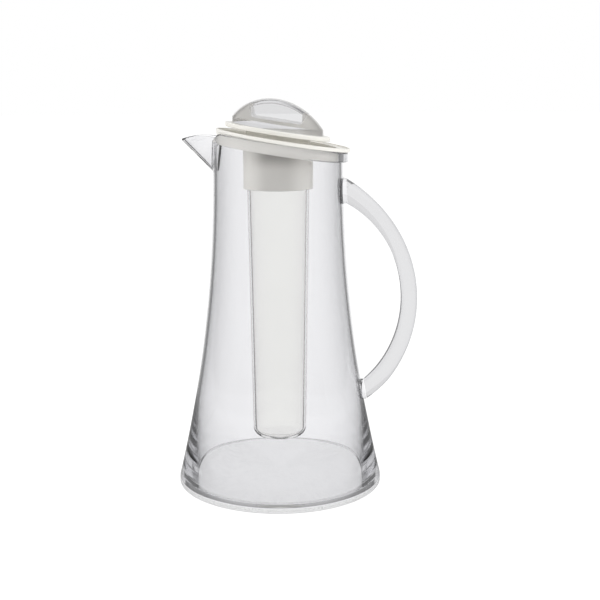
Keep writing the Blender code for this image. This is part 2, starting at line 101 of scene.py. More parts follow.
class BodySizes(bpy.types.PropertyGroup):
    foot_radius: length("Foot radius", "Radius that the flare would have at the ground", 0.0755)
    neck_radius: length("Neck radius", "Outer radius of the neck", 0.0465)
    neck_height: length("Neck height", "Height at which the flare has died out", 0.234)
    wall: length("Wall", "Thickness of the wall above the foot", 0.0027)
    foot_wall: length("Foot wall", "What the wall gains in thickness at the ground", 0.0076)
    foot_wall_height: length("Thick wall height", "Height up to which the wall is thickened", 0.065)
    rim_height: length("Rim height", "Height of the rim on the axis", 0.2493)
    slant: turn("Slant", "Slant of the rim, higher at the spout", 9)
    bead_depth: length("Bead depth", "Depth of the rim's bead at the handle", 0.0031)
    bead_height: length("Bead height", "Height of the rim's bead", 0.0066)
    bead_slope: length("Bead slope", "Height in which the bead runs out below", 0.0009)
    rim_round: length("Rim rounding", "Radius of the rim's edges", 0.0010)
    base_thickness: length("Base thickness", "Thickness of the base disc", 0.0033)
    base_step: length("Base step", "Height of the step that centres the disc in the foot", 0.0014)
    joint_gap: length("Joint gap", "Thickness of a bonded joint", 0.0003)
    edge: length("Edge", "Radius of the foot's outer edge", 0.0006)
    base_round: length("Base rounding", "Radius of the base disc's lower edge", 0.0008)
    segments: facets("round the body", 288)


class SpoutSizes(bpy.types.PropertyGroup):
    reach: length("Reach", "How far the tip stands out of the neck", 0.0224)
    half_width: length("Half width", "Half of the spout's width on the neck", 0.0155)
    depth: length("Depth", "Height from the root to the tip", 0.0227)
    tip_rise: length("Tip rise", "Height of the tip over the rim on the axis", 0.002)
    crest_rise: length("Crest rise", "Height of the lip's crest", 0.0046)
    mouth_rise: length("Mouth rise", "Height of the lip at the wall", 0.0034)
    crest_share: share("Crest", "Place of the crest, from the wall to the tip", 0.43)
    root_width: share("Root width", "Width at the root, of the width at the tip", 0.3)
    nose: share("Nose", "Rounding of the spout's keel", 0.22)
    flank: share("Flank", "Hollowness of the flanks, where 1 is straight", 1.25, "NONE")
    blend: share("Blend", "Where the lip meets the slanted rim, in half widths", 1.7, "NONE")


class HandleSizes(bpy.types.PropertyGroup):
    radius: length("Radius", "Radius of the crescent's centre line", 0.09009)
    centre_x: length("Centre X", "Centre of the crescent, out from the axis", 0.004)
    centre_height: length("Centre height", "Centre of the crescent, above the ground", 0.1355)
    thickness: length("Thickness", "Thickness at the middle", 0.012)
    end_thickness: length("End thickness", "Thickness at the ends", 0.0158)
    depth: length("Depth", "Depth from front to back at the middle", 0.017)
    end_depth: length("End depth", "Depth from front to back at the ends", 0.019)
    top_angle: turn("Top angle", "Where the sweep starts, inside the body", 70)
    heel_angle: turn("Heel angle", "Where the sweep ends, inside the body", -60)
    joint_angle: turn("Joint angle", "Angle at which the end sizes are reached", 60)
    heel_start: turn("Heel start", "Where the heel starts to draw in", -36)
    heel_end: turn("Heel end", "Where the heel is fully drawn in", -54)
    heel_draw: length("Heel draw", "How much thinner the heel is drawn", 0.002)
    boss_height: length("Boss height", "How far the joint faces stand off the wall", 0.0018)
    top_lean: turn("Top lean", "Lean of the upper joint face", -1.5)
    heel_lean: turn("Heel lean", "Lean of the lower joint face", -10)
    power: share("Section power", "2 is an ellipse, and more is squarer", 2.7, "NONE")
    hollow: length("Hollow", "Depth of the hollow along the inner side, in the middle", 0.003)
    hollow_width: share("Hollow width", "Width of the hollow as a share of the handle's depth", 0.6)
    segments: facets("round the handle's section", 72)
    steps: facets("along the handle", 110)


class LidSizes(bpy.types.PropertyGroup):
    height: length("Height", "Height of the flange's underside on the axis", 0.2496)
    flange_radius: length("Flange radius", "Outer radius of the flange", 0.0476)
    flange_offset: length("Flange offset", "How far the flange sits towards the handle", 0.0038)
    flange_thickness: length("Flange thickness", "Thickness of the flange", 0.0016)
    lip_height: length("Lip height", "Height of the flange's lip", 0.0026)
    lip_width: length("Lip width", "Width of the flange's lip", 0.0015)
    plug_radius: length("Plug radius", "Radius of the part in the neck", 0.0435)
    plug_depth: length("Plug depth", "Depth of the part in the neck", 0.0071)
    plug_wall: length("Plug wall", "Wall of the part in the neck", 0.002)
    tray_floor: length("Tray floor", "Thickness of the floor round the hub", 0.002)
    hub_radius: length("Hub radius", "Outer radius of the hub", 0.0228)
    hub_rise: length("Hub rise", "Height of the hub over the flange's underside", 0.0047)
    hub_bore: length("Hub bore", "Inner radius of the hub", 0.0195)
    collar_radius: length("Collar radius", "Outer radius of the collar", 0.0248)
    collar_bore: length("Collar bore", "Inner radius of the collar", 0.0225)
    collar_drop: length("Collar drop", "Depth of the collar", 0.0335)
    seat_drop: length("Seat drop", "Depth of the washer's seat", 0.011)
    corner: length("Corner", "Radius of the inner corners", 0.001)
    edge: length("Edge", "Radius of the edges", 0.0006)
    disc_radius: length("Disc radius", "Radius of the stopper's disc", 0.0372)
    disc_bottom: length("Disc bottom", "Rise of the stopper's disc", 0.005)
    disc_top: length("Disc top", "Rise of the disc's top", 0.0082)
    skirt_radius: length("Skirt radius", "Radius of the stopper's skirt", 0.0192)
    skirt_wall: length("Skirt wall", "Wall of the stopper's skirt", 0.002)
    skirt_rise: length("Skirt rise", "Rise of the skirt's lower edge", -0.0033)
    skirt_ceiling: length("Skirt ceiling", "Rise of the ceiling in the skirt", 0.0058)
    segments: facets("round the lid", 224)


class KnobSizes(bpy.types.PropertyGroup):
    radius: length("Radius", "Radius of the knob", 0.0323)
    bottom: length("Bottom", "Rise of the knob's underside, sunk into the bond", 0.00815)
    foot: length("Foot", "Height of the upright foot", 0.00415)
    dome: length("Dome", "Height of the dome on its foot", 0.01657)
    pocket_half_width: length("Pocket half width", "Half of a finger pocket's width", 0.0175)
    pocket_floor: length("Pocket floor", "Height of the pocket's floor over the foot", 0.0023)
    pocket_roof: length("Pocket roof", "Thickness of the dome over a pocket", 0.0034)
    pocket_corner: length("Pocket corner", "Radius of the pocket's lower corners", 0.002)
    web: length("Web", "Thickness of the web between the pockets", 0.004)
    edge: length("Edge", "Radius of the foot's edge", 0.0003)
    segments: facets("round the knob", 160)
    steps: facets("along a dome line", 48)


class TubeSizes(bpy.types.PropertyGroup):
    top: length("Top", "Height of the mouth", 0.2364)
    bottom: length("Bottom", "Height of the tip", 0.0318)
    taper_top: length("Taper top", "Height at which the taper starts", 0.2161)
    mouth_radius: length("Mouth radius", "Outer radius of the mouth", 0.0222)
    tip_radius: length("Tip radius", "Outer radius at the tip", 0.0193)
    wall: length("Wall", "Thickness of the wall", 0.0022)
    corner: length("Corner", "Radius of the rounded tip", 0.0065)
    thread_depth: length("Thread depth", "Depth of the thread on the neck", 0.0009)
    thread_pitch: length("Thread pitch", "Distance from ridge to ridge", 0.005)
    thread_starts: IntProperty(name="Starts", description="Number of threads side by side", default=2, min=1)
    thread_run: length("Thread run", "Height over which a thread starts and ends", 0.0015)
    edge: length("Edge", "Radius of the mouth's outer edge", 0.0006)
    segments: facets("round the tube", 160)


class Finishes(bpy.types.PropertyGroup):
    acrylic: colour("Acrylic", "Surface tint of the clear acrylic", "F8F8F9")
    # The glancing-view tints of the acrylic, the tube and the cast acrylic are painted shade, which darkens
    # the clear plastic at its edges.
    acrylic_edge_shade: colour("Acrylic rim", "Tint of the clear acrylic at a glancing view", "DADADC")
    acrylic_depth: colour("Acrylic depth", "Tint of the acrylic seen through its thickness", "CDCDD2")
    tube: colour("Tube", "Surface tint of the ice tube", "FCFCFA")
    tube_edge_shade: colour("Tube rim", "Tint of the ice tube at a glancing view", "F4F3F3")
    cast: colour("Cast acrylic", "Surface tint of the knob and the handle", "E2E2E3")
    cast_edge_shade: colour("Cast rim", "Tint of the knob and the handle at a glancing view", "C4C4C8")
    white: colour("White plastic", "The lid and the stopper", "EDEBE5")
    # Painted shade: the grey that the lid's collar is mixed toward, which stands in for the shade it lies in
    # inside the body and under the plug.
    collar: colour("Thin plastic", "What the white plastic turns to where it is thin", "6E6A66")
    silicone: colour("Silicone", "The washer", "BDB9B2")
    floor: colour("Floor", "Floor of the studio", "F4F4F4")


class StageSizes(bpy.types.PropertyGroup):
    distance: length("Distance", "Camera's distance from the axis", 0.777)
    height: length("Height", "Camera's height", 0.286)
    azimuth: turn("Azimuth", "How far the camera stands towards the handle", 2)
    pitch: turn("Pitch", "How far the camera looks down", 11.01)
    roll: turn("Roll", "How far the camera leans", -0.39)
    lens: share("Lens", "Focal length in millimetres on a 36 mm frame", 65.22, "NONE")
    shift: share("Shift", "Sideways shift of the frame", 0.035, "NONE")
    floor_radius: length("Floor radius", "Radius of the floor", 12.0)
    softbox: share("Softbox", "Power of each side softbox in watts", 2.0, "NONE")
    toplight: share("Top light", "Power of the top softbox in watts", 0.1, "NONE")
    ambient: share("Ambient", "Strength of the studio's own light, low in front", 1.0, "NONE")
    high_light: share("High light", "Strength of the studio's own light from above", 0.6, "NONE")
    side_light: share("Side light", "Strength of the studio's own light at both sides", 2.0, "NONE")
    room: share("Room", "How bright the room is that gloss mirrors", 0.35)
    room_behind: share("Room behind", "How bright the room is behind the set", 0.17)
    backdrop: share("Backdrop", "Cosine of the angle up to which the backdrop is mirrored", 0.92)
    backdrop_edge: share("Backdrop edge", "Cosine of the angle at which it has faded", 0.86)
    ceiling: share("Ceiling", "How bright the ceiling and the backdrop are in a mirror", 0.95)


class PitcherSettings(bpy.types.PropertyGroup):
    body: group(BodySizes, "Body", "Sizes of the body and its base")
    spout: group(SpoutSizes, "Spout", "Sizes of the spout")
    handle: group(HandleSizes, "Handle", "Sizes of the handle")
    lid: group(LidSizes, "Lid", "Sizes of the lid and its stopper")
    knob: group(KnobSizes, "Knob", "Sizes of the knob")
    tube: group(TubeSizes, "Ice tube", "Sizes of the ice tube")
    finish: group(Finishes, "Finish", "Colours of the materials")
    stage: group(StageSizes, "Stage", "Camera, floor and lights")


# Mesh helpers


def round_corners(mesh, corners, radius, steps):
    bmesh.ops.bevel(
        mesh, geom=corners, offset=radius, offset_type="OFFSET", segments=steps, profile=0.5,
        affect="VERTICES", material=-1,
    )


def outline(points, closed=True):
    """A wire in the XZ plane through (radius, height, rounding) points."""
    mesh = bmesh.new()
    corners = [mesh.verts.new((radius, 0, height)) for radius, height, _ in points]
    following = corners[1:] + corners[:1] if closed else corners[1:]
    for pair in zip(corners, following):
        mesh.edges.new(pair)
    large, large_steps, edge_steps = 0.003, 10, 3
    for corner, (_, _, rounding) in zip(corners, points):
        if rounding > 0:
            round_corners(mesh, [corner], rounding, large_steps if rounding > large else edge_steps)
    return mesh


def divide(mesh, spacing, low=-math.inf, high=math.inf):
    """Cuts the long edges between two heights, so that what bends them later runs smoothly."""
    for edge in list(mesh.edges):
        ends = [vert.co.z for vert in edge.verts]
        cuts = int(edge.calc_length() / spacing)
        if cuts and min(ends) >= low - MERGE and max(ends) <= high + MERGE:
            bmesh.ops.subdivide_edges(mesh, edges=[edge], cuts=cuts)


def weld(mesh):
    """Joins points that fall together, and turns the skin's faces outwards."""
    bmesh.ops.remove_doubles(mesh, verts=mesh.verts, dist=MERGE)
    bmesh.ops.recalc_face_normals(mesh, faces=mesh.faces)


def revolve(mesh, segments):
    """Turns the wire once round the Z axis into a closed skin."""
    bmesh.ops.spin(
        mesh, geom=mesh.verts[:] + mesh.edges[:], cent=(0, 0, 0), axis=(0, 0, 1), angle=math.tau,
        steps=segments, use_merge=True,
    )
    weld(mesh)
    return mesh


def reshape(mesh, place):
    """Moves each point of the mesh to its final place."""
    for vert in mesh.verts:
        vert.co = place(vert.co)
    return mesh


def as_object(mesh, name):
    data = bpy.data.meshes.new(name)
    mesh.to_mesh(data)
    mesh.free()
    made = bpy.data.objects.new(name, data)
    bpy.context.scene.collection.objects.link(made)
    return made


def combine(target, tool, operation):
    """Joins or cuts two closed solids for good, and removes the tool."""
    change = target.modifiers.new(operation.lower(), "BOOLEAN")
    change.operation = operation
    change.solver = "EXACT"
    change.object = tool
    bpy.context.view_layer.update()
    seen = target.evaluated_get(bpy.context.evaluated_depsgraph_get())
    data = bpy.data.meshes.new_from_object(seen)
    old = target.data
    target.modifiers.clear()
    target.data = data
    data.name = target.name
    bpy.data.meshes.remove(old)
    bpy.data.objects.remove(tool, do_unlink=True)


def finish(made, body, node, slot, material):
    """Smooths a finished piece, gives it its material and puts it in its node's place."""
    made.data.shade_smooth()
    made.data.set_sharp_from_angle(angle=math.radians(30))
    made.data.materials.clear()
    made.data.materials.append(material)
    flat = made.modifiers.new("flat_faces", "WEIGHTED_NORMAL")
    flat.keep_sharp = True
    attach(made, body)
    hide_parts(node)


# Shape of the body


def smooth_step(low, high, value):
    part = min(max((value - low) / (high - low), 0), 1)
    return part * part * (3 - 2 * part)


def body_radius(body, height):
    """Outer radius of the wall: a flare that dies out at the neck."""
    part = max(0, 1 - height / body.neck_height)
    return body.neck_radius + (body.foot_radius - body.neck_radius) * part**2


def wall_at(body, height):
    """The wall thickens towards the foot, where the base disc is bonded on."""
    part = max(0, 1 - height / body.foot_wall_height)
    return body.wall + body.foot_wall * part**2


def spout_tip(settings):
    return settings.body.rim_height + settings.spout.tip_rise


def spout_share(settings, angle, height):
    """How far the spout stands out, from 0 on the plain wall to 1 at its tip."""
    spout = settings.spout
    rise = (height - spout_tip(settings) + spout.depth) / spout.depth
    rise = min(max(rise, 0), 1)
    width = spout.half_width * (spout.root_width + (1 - spout.root_width) * rise)
    off = abs(angle % math.tau - math.pi) * settings.body.neck_radius / width
    slope = (math.hypot(off, spout.nose) - spout.nose) / (math.hypot(1, spout.nose) - spout.nose)
    return rise * max(0, 1 - slope) ** spout.flank


def top_edge(settings, angle, x):
    """Height of the rim: the slanted cut, which gives way to the lip's edge at the spout."""
    body, spout = settings.body, settings.spout
    part = spout_share(settings, angle, spout_tip(settings))
    if part < spout.crest_share:
        ease = math.sin(math.pi / 2 * part / spout.crest_share)
        lip = spout.mouth_rise + (spout.crest_rise - spout.mouth_rise) * ease
    else:
        fall = (part - spout.crest_share) / (1 - spout.crest_share)
        lip = spout.crest_rise - (spout.crest_rise - spout.tip_rise) * fall**2
    half_angle = spout.half_width / body.neck_radius
    rim = smooth_step(half_angle, half_angle * spout.blend, abs(angle % math.tau - math.pi))
    return body.rim_height + lip + (-math.tan(body.slant) * x - lip) * rim


def wall_point(settings, angle, height, inset):
    reach = settings.spout.reach * spout_share(settings, angle, height)
    radius = body_radius(settings.body, height) + reach - inset
    return Vector((radius * math.cos(angle), radius * math.sin(angle), height))


def shell_point(settings, waist, blank):
    """Draws a point of the straight pipe out into the flared wall, its rim, bead and spout."""
    body = settings.body
    angle = math.atan2(blank.y, blank.x)
    inset = body.neck_radius - math.hypot(blank.x, blank.y)
    drop = body.rim_height - blank.z
    fade = (1 - math.cos(angle)) / 2
    if inset < 0 and drop < body.bead_height / 2:
        inset += fade * body.bead_depth * min(1, -inset / (body.bead_depth - body.rim_round))
    elif inset < 0:
        inset *= 1 - fade
    height = blank.z
    if blank.z > waist:
        beside = wall_point(settings, angle, spout_tip(settings), inset)
        top = top_edge(settings, angle, beside.x)
        under = body.bead_height + body.bead_slope
        if drop <= under:
            height = top - drop
        else:
            part = (blank.z - waist) / (body.rim_height - under - waist)
            height = waist + (top - under - waist) * part
    if inset > 0:
        inset *= wall_at(body, height) / body.wall
    return wall_point(settings, angle, height, inset)


def handle_blank(handle):
    """The whole crescent, with both ends running on into the body.

    A thin section is swept first, and each point is then moved out to the handle's true section.
    """
    thin = 0.001
    mesh = bmesh.new()
    bmesh.ops.create_circle(mesh, segments=handle.segments, radius=1)
    for vert in mesh.verts:
        across, along = vert.co.x, vert.co.y
        reach = (abs(across) ** handle.power + abs(along) ** handle.power) ** (-1 / handle.power)
        vert.co = Vector((across * reach * thin, along * reach * thin, 0))
    start = Matrix.Rotation(-handle.top_angle, 3, "Y")
    bmesh.ops.translate(mesh, verts=mesh.verts, vec=(handle.radius, 0, 0))
    bmesh.ops.rotate(mesh, verts=mesh.verts, cent=(0, 0, 0), matrix=start)
    sweep = handle.top_angle - handle.heel_angle
    ring = mesh.verts[:] + mesh.edges[:]
    bmesh.ops.spin(
        mesh, geom=ring, cent=(0, 0, 0), axis=(0, 1, 0), angle=sweep, steps=handle.steps
    )
    weld(mesh)

    def swell(point):
        angle = math.atan2(point.z, point.x)
        out = (math.hypot(point.x, point.z) - handle.radius) / thin
        along = point.y / thin
        part = ((1 - math.cos(angle)) / (1 - math.cos(handle.joint_angle))) ** 2
        thickness = handle.thickness + (handle.end_thickness - handle.thickness) * part
        depth = handle.depth + (handle.end_depth - handle.depth) * part
        drawn = handle.heel_draw * smooth_step(handle.heel_start, handle.heel_end, angle)
        radius = handle.radius - drawn / 2 + out * (thickness - drawn) / 2
        if out < 0:
            groove = max(1 - (along / handle.hollow_width) ** 2, 0) ** 2
            radius += handle.hollow * max(1 - part, 0) * groove
        x = handle.centre_x + radius * math.cos(angle)
        return Vector((x, along * depth / 2, handle.centre_height + radius * math.sin(angle)))

    return reshape(mesh, swell)


def joint_plane(settings, side):
    """Centre and normal of the joint face above (1) or below (-1) the handle's middle."""
    handle = settings.handle
    lean = handle.top_lean if side > 0 else handle.heel_lean
    height = handle.centre_height
    # Each round comes nearer to where the crescent crosses the wall.
    rounds = 14
    for _ in range(rounds):
        run = body_radius(settings.body, height) + handle.boss_height - handle.centre_x
        height = handle.centre_height + side * math.sqrt(max(handle.radius**2 - run**2, 0))
    centre = Vector((body_radius(settings.body, height) + handle.boss_height, 0, height))
    return centre, Matrix.Rotation(lean, 3, "Y") @ Vector((1, 0, 0))


def split(mesh, centre, normal, keep_loop=False):
    """Clears what lies behind a plane, or all but the loop that lies in it."""
    bmesh.ops.bisect_plane(
        mesh, geom=mesh.verts[:] + mesh.edges[:] + mesh.faces[:], dist=MERGE, plane_co=centre,
        plane_no=normal, clear_inner=True, clear_outer=keep_loop,
    )


def cut(mesh, centre, normal, keep_loop=False):
    """Splits the handle at a joint face, and closes the loop that is left there."""
    split(mesh, centre, normal, keep_loop)
    rim = [edge for edge in mesh.edges if len(edge.link_faces) < 2]
    flush = 1e-5
    near = [edge for edge in rim if all(abs((v.co - centre).dot(normal)) < flush for v in edge.verts)]
    bmesh.ops.contextual_create(mesh, geom=near)


def make_boss(settings, side):
    """A low pad of the handle's section, from its joint face to the middle of the wall."""
    mesh = handle_blank(settings.handle)
    split(mesh, (0, 0, settings.handle.centre_height), (0, 0, side))
    cut(mesh, *joint_plane(settings, side), keep_loop=True)
    grown = bmesh.ops.extrude_face_region(mesh, geom=mesh.faces[:])["geom"]
    for vert in grown:
        if isinstance(vert, bmesh.types.BMVert):
            core = body_radius(settings.body, vert.co.z) - settings.body.wall / 2
            vert.co.x = math.sqrt(core**2 - vert.co.y**2)
    bmesh.ops.recalc_face_normals(mesh, faces=mesh.faces)
    return as_object(mesh, "boss")


# Shape of the lid


def slant_place(settings, point, level_below, slanted_above, eccentric=False):
    """Slants a turned shape by its height, from level to parallel with the rim."""
    lid = settings.lid
    tilt = settings.body.slant
    x, rise = point.x, point.z
    if eccentric:
        lip = lid.flange_radius - lid.lip_width
        radius = math.hypot(point.x, point.y)
        out = min(max((radius - lid.plug_radius) / (lip - lid.plug_radius), 0), 1)
        x += lid.flange_offset * out
    part = min(max((rise - level_below) / (slanted_above - level_below), 0), 1)
    height = rise + part * (rise / math.cos(tilt) - rise - math.tan(tilt) * x)
    return Vector((x, point.y, lid.height + height))


def thread_at(tube, point, height, low, high):
    """The thread here: its ridge, from 0 in the root to 1 on the crest, and how far it has run in."""
    lead = tube.thread_pitch * tube.thread_starts
    phase = tube.thread_starts * (math.atan2(point.y, point.x) - math.tau * height / lead)
    root, crest, run = -0.2, 0.75, tube.thread_run
    run_in = smooth_step(low, low + run, height) * smooth_step(high, high - run, height)
    return smooth_step(root, crest, math.cos(phase)) * run_in, run_in


# Materials


def fill(tree, node, inputs):
    """Fills a node's inputs, by name or in their order. A node stands for its first output."""
    for name, value in inputs.items() if isinstance(inputs, dict) else enumerate(inputs):
        if isinstance(value, bpy.types.Node):
            value = next(output for output in value.outputs if output.enabled)
        if isinstance(value, bpy.types.NodeSocket):
            tree.links.new(value, node.inputs[name])
        else:
            node.inputs[name].default_value = value


def add(tree, kind, inputs=(), **options):
    """Adds a node, sets its options and fills its inputs."""
    made = tree.nodes.new(kind)
    for name, value in options.items():
        setattr(made, name, value)
    fill(tree, made, inputs)
    return made


def new_material(name):
    made = bpy.data.materials.new(name)
    made.use_nodes = True
    return made, made.node_tree, made.node_tree.nodes["Principled BSDF"]


def shared(name, make, *values, **finish):
    """The material of this name, which is made once for all pieces that have it."""
    return bpy.data.materials.get(name) or make(name, *values, **finish)


def clear_plastic(name, tint, edge_shade_tint, depth_tint, density, ior=1.49, roughness=0.0):
    """Clear moulded plastic: a mirror-smooth skin that ripples slightly over some centimetres."""
    made, tree, shader = new_material(name)
    # Painted shade: glancing views are tinted greyer, beyond what the gloss already takes from them, to
    # stand in for the dark outlines at the plastic's edges.
    facing = add(tree, "ShaderNodeLayerWeight", {"Blend": 0.5}).outputs["Facing"]
    curve = add(tree, "ShaderNodeMath", (facing, 1.5), operation="POWER")
    tints = {"Factor": curve, "A": (*tint, 1), "B": (*edge_shade_tint, 1)}
    skin = add(tree, "ShaderNodeMix", tints, data_type="RGBA")
    place = add(tree, "ShaderNodeTexCoord").outputs["Object"]
    # Handling leaves faint dull patches of about 12 mm on the polish.
    wear = add(tree, "ShaderNodeTexNoise", {"Vector": place, "Scale": 83.0, "Detail": 3.0})
    dull = add(tree, "ShaderNodeMapRange", (wear, 0.4, 0.75, roughness, roughness + 0.03))
    # The melt's flow leaves a ripple of about 25 mm, which only shows in reflections.
    flow = add(tree, "ShaderNodeTexNoise", {"Vector": place, "Scale": 40.0, "Detail": 1.0})
    ripple = {"Height": flow, "Strength": 1.0, "Distance": 0.00001}
    fill(tree, shader, {
        "Base Color": skin, "Transmission Weight": 1, "IOR": ior, "Roughness": dull,
        "Normal": add(tree, "ShaderNodeBump", ripple),
    })
    depth = {"Color": (*depth_tint, 1), "Density": density}
    fill(tree, tree.nodes["Material Output"], {
        "Volume": add(tree, "ShaderNodeVolumeAbsorption", depth),
    })
    return made


def moulded_white(name, tint, painted_shade_colour):
    """Moulded polypropylene: warm white, satin, with the fine grain of a spark-eroded mould."""
    made, tree, shader = new_material(name)
    place = add(tree, "ShaderNodeTexCoord").outputs["Object"]
    # Flow and ageing shift the white a little over about 20 mm.
    cloud = add(tree, "ShaderNodeTexNoise", {"Vector": place, "Scale": 50.0, "Detail": 2.0})
    darker = [channel * 0.965 for channel in tint]
    tints = {"Factor": cloud, "A": (*tint, 1), "B": (*darker, 1)}
    white = add(tree, "ShaderNodeMix", tints, data_type="RGBA")
    # Painted shade: the collar under the flange is mixed toward a grey that stands in for the dim light it
    # gets inside the clear body.
    axes = add(tree, "ShaderNodeSeparateXYZ", (place,)).outputs
    flat = add(tree, "ShaderNodeCombineXYZ", {"X": axes["X"], "Y": axes["Y"]})
    radius = add(tree, "ShaderNodeVectorMath", (flat,), operation="LENGTH")
    across = add(tree, "ShaderNodeMath", (axes["X"],), operation="ABSOLUTE")
    collar_reach, collar_top, under_flange = 0.0256, 0.2455, 0.2465
    painted_shade = add(tree, "ShaderNodeMath", (radius, collar_reach), operation="LESS_THAN")
    # The painted shade is strongest in its middle, which turns away from the side light, and at its top,
    # under the plug, where the seat for the ice tube lies behind it.
    for kind, *ramp in (
        ("LINEAR", axes["Z"], under_flange, collar_top, 0.0, 1.0),
        ("SMOOTHSTEP", across, 0.006, 0.021, 1.0, 0.15),
        ("SMOOTHSTEP", axes["Z"], 0.230, 0.241, 0.3, 0.75),
    ):
        part = add(tree, "ShaderNodeMapRange", ramp, interpolation_type=kind)
        painted_shade = add(tree, "ShaderNodeMath", (painted_shade, part), operation="MULTIPLY")
    tints = {"Factor": painted_shade, "A": white, "B": (*painted_shade_colour, 1)}
    # The mould's grain is about 0.3 mm.
    grain = add(tree, "ShaderNodeTexNoise", {"Vector": place, "Scale": 3300.0, "Detail": 2.0})
    relief = {"Height": grain, "Strength": 0.35, "Distance": 0.00004}
    fill(tree, shader, {
        "Base Color": add(tree, "ShaderNodeMix", tints, data_type="RGBA"),
        "IOR": 1.49,
        "Roughness": add(tree, "ShaderNodeMapRange", {"Value": cloud, "To Min": 0.3, "To Max": 0.4}),
        "Normal": add(tree, "ShaderNodeBump", relief),
    })
    return made


def moulded_silicone(name, tint):
    """Silicone rubber: soft grey, matt, with a dusting of fine specks."""
    made, tree, shader = new_material(name)
    place = add(tree, "ShaderNodeTexCoord").outputs["Object"]
    # Specks of about 0.5 mm.
    speck = add(tree, "ShaderNodeTexNoise", {"Vector": place, "Scale": 2000.0, "Detail": 1.0})
    darker = [channel * 0.9 for channel in tint]
    tints = {"Factor": speck, "A": (*tint, 1), "B": (*darker, 1)}
    grey = add(tree, "ShaderNodeMix", tints, data_type="RGBA")
    fill(tree, shader, {"Base Color": grey, "IOR": 1.41, "Roughness": 0.55})
    return made


def acrylic(finishes):
    return shared(
        "clear_moulded_acrylic", clear_plastic, finishes.acrylic, finishes.acrylic_edge_shade,
        finishes.acrylic_depth, density=12.0,
    )


def cast_acrylic(finishes):
    return shared(
        "clear_cast_acrylic", clear_plastic, finishes.cast, finishes.cast_edge_shade,
        finishes.acrylic_depth, density=4.0,
    )


def styrene(finishes):
    return shared(
        "clear_moulded_styrene", clear_plastic, finishes.tube, finishes.tube_edge_shade,
        finishes.acrylic_depth, density=5.0, ior=1.09, roughness=0.08,
    )


def polypropylene(finishes):
    return shared("white_moulded_polypropylene", moulded_white, finishes.white, finishes.collar)


# Pieces


class PITCHER_OT_body(bpy.types.Operator):
    """Makes the flared body with its rim, spout and the bosses for the handle"""

    bl_idname = "pitcher.body"
    bl_label = "Body"

    def execute(self, context):
        settings = context.scene.pitcher
        body = settings.body
        bottom = body.base_thickness + body.joint_gap
        outer, inner = body.neck_radius, body.neck_radius - body.wall
        rim = body.rim_height
        bead = outer + body.bead_depth
        waist = spout_tip(settings) - settings.spout.depth - body.bead_height
        under = rim - body.bead_height - body.bead_slope
        mesh = outline([
            (outer, bottom, body.edge),
            (outer, waist, 0),
            (outer, under, 0),
            (bead, rim - body.bead_height, body.bead_slope / 2),
            (bead, rim, body.rim_round),
            (inner, rim, body.rim_round * 0.8),
            (inner, waist, 0),
            (inner, bottom, body.edge / 2),
        ])
        divide(mesh, spacing=0.006, high=waist)
        divide(mesh, spacing=0.0009, low=waist)
        revolve(mesh, body.segments)
        reshape(mesh, lambda blank: shell_point(settings, waist, blank))
        bmesh.ops.recalc_face_normals(mesh, faces=mesh.faces)
        made = as_object(mesh, "body_shell")
        for side in (1, -1):
            combine(made, make_boss(settings, side), "UNION")
        finish(made, "pitcher", "pitcher_body", "clear_body", acrylic(settings.finish))
        return {"FINISHED"}


class PITCHER_OT_base(bpy.types.Operator):
    """Makes the base disc that is bonded under the body"""

    bl_idname = "pitcher.base"
    bl_label = "Base disc"

    def execute(self, context):
        settings = context.scene.pitcher
        body = settings.body
        bottom = body.base_thickness + body.joint_gap
        outer = body_radius(body, bottom)
        step = outer - wall_at(body, bottom) - body.joint_gap
        top = body.base_thickness + body.base_step
        mesh = outline([
            (0, 0, 0),
            (outer, 0, body.base_round),
            (outer, body.base_thickness, body.edge),
            (step, body.base_thickness, 0),
            (step, top, body.edge),
            (0, top, 0),
        ], closed=False)
        divide(mesh, spacing=0.006)
        made = as_object(revolve(mesh, body.segments), "base_plate")
        finish(made, "pitcher", "base_disc", "clear_body", acrylic(settings.finish))
        return {"FINISHED"}


class PITCHER_OT_handle(bpy.types.Operator):
    """Makes the crescent handle and cuts its ends to the bosses"""

    bl_idname = "pitcher.handle"
    bl_label = "Handle"

    def execute(self, context):
        settings = context.scene.pitcher
        mesh = handle_blank(settings.handle)
        for side in (1, -1):
            centre, normal = joint_plane(settings, side)
            cut(mesh, centre + normal * settings.body.joint_gap, normal)
        bmesh.ops.recalc_face_normals(mesh, faces=mesh.faces)
        made = as_object(mesh, "crescent_handle")
        finish(made, "pitcher", "handle", "clear_body", cast_acrylic(settings.finish))
        return {"FINISHED"}


